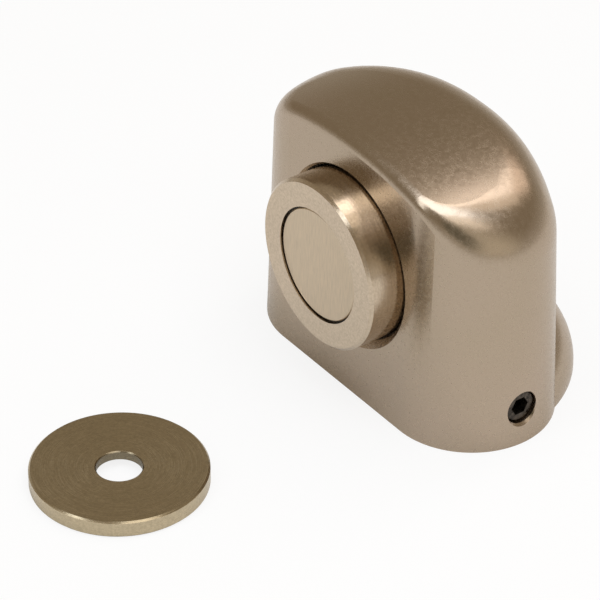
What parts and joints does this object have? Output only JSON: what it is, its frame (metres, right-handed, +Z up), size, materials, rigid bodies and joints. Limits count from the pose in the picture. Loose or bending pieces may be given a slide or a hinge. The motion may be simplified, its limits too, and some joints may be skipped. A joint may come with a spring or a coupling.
{
  "type": "magnetic door stop",
  "caption": "Floor-mounted door stop with a sprung magnet cup in a rounded cast housing, and a round steel strike plate for the door.",
  "frame": {"origin": "on the floor, in the symmetry plane of the stop, 12 mm behind the foot of its front face", "axes": "+X to the right of someone who faces the magnet, +Y away from the door, +Z up"},
  "size_m": [0.0628, 0.1033, 0.0489],
  "materials": {
    "satin_nickel": "satin",
    "turned_nickel": "brushed",
    "magnet_nickel": "brushed",
    "strike_nickel": "satin",
    "zinc_plated_steel": "satin",
    "spring_steel": "satin",
    "black_steel": "satin",
    "dark_plastic": "matt",
    "white_plastic": "matt",
    "black_rubber": "matt"
  },
  "bodies": {
    "stop": {"housing": "satin_nickel", "mounting_base": "zinc_plated_steel", "set_screw": "black_steel", "guide_bush": "white_plastic", "plunger_spring": "spring_steel", "buffer_ring": "black_rubber", "rebound_washer": "black_rubber", "strike_plate": "strike_nickel"},
    "plunger": {"magnet_cup": "turned_nickel", "magnet": "magnet_nickel", "spacer_ring": "dark_plastic", "retaining_clip": "spring_steel"}
  },
  "joints": [
    {"name": "plunger_slide", "type": "slide", "parent": "stop", "child": "plunger", "axis": [0, 1, 0], "range_m": [0, 0.003], "stiffness_N_per_m": 1500, "springref_m": -0.002, "deforming": ["plunger_spring"]}
  ]
}
